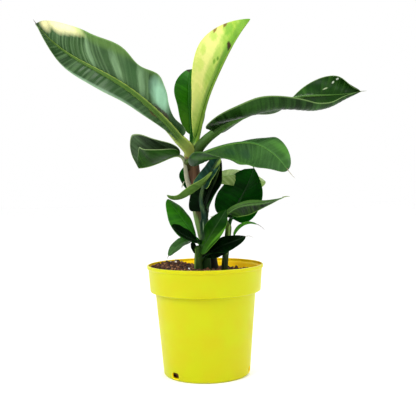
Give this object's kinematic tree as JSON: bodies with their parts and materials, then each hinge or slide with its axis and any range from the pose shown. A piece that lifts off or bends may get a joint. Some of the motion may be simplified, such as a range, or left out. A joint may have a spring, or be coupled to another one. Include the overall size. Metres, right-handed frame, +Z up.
{
  "type": "potted banana plant",
  "caption": "Young banana plant with broad arching leaves, a lime spear leaf and suckers round its main stem, in a tapered yellow plastic pot of compost.",
  "frame": {"origin": "centre of the pot's flat underside, where it meets the floor or shelf", "axes": "+Z up along the pot's axis, -Y towards the plant's front, +X to the right as seen from the front"},
  "size_m": [0.325, 0.161, 0.3678],
  "materials": {
    "pot": "semi-matt moulded polypropylene, lemon yellow",
    "compost": "moist crumbs of potting compost with a few white perlite grains",
    "stem": "smooth fleshy leaf sheaths, green to brown-red",
    "stalk": "smooth fleshy stalk and midrib, yellow-green",
    "leaf": "thin waxy leaf blade, green with a soft sheen",
    "spear_leaf": "new leaf blade, cream and lime"
  },
  "bodies": {
    "root": {"pot": "pot", "compost": "compost", "stem_main": "stem", "stem_centre": "stem", "stem_front": "stem", "stem_right": "stem", "leaf_great": "leaf", "leaf_spear": "spear_leaf", "leaf_back": "leaf", "leaf_long": "leaf", "leaf_smallLeft": "leaf", "leaf_broadRight": "leaf", "leaf_upturned": "leaf", "leaf_arched": "leaf", "leaf_shaded": "leaf", "leaf_upright": "leaf", "leaf_narrowRight": "leaf", "leaf_brightLeft": "leaf", "leaf_darkLeft": "leaf", "leaf_lowLeft": "leaf", "leaf_front": "leaf", "leaf_lowRight": "leaf", "leaf_lowest": "leaf", "leaf_curled": "leaf", "leaf_pale": "leaf", "leaf_tucked": "leaf", "leaf_tiny": "leaf", "stalk_great": "stalk", "stalk_spear": "stalk", "stalk_back": "stalk", "stalk_long": "stalk", "stalk_smallLeft": "stalk", "stalk_upturned": "stalk", "stalk_pale": "stalk"}
  },
  "joints": []
}
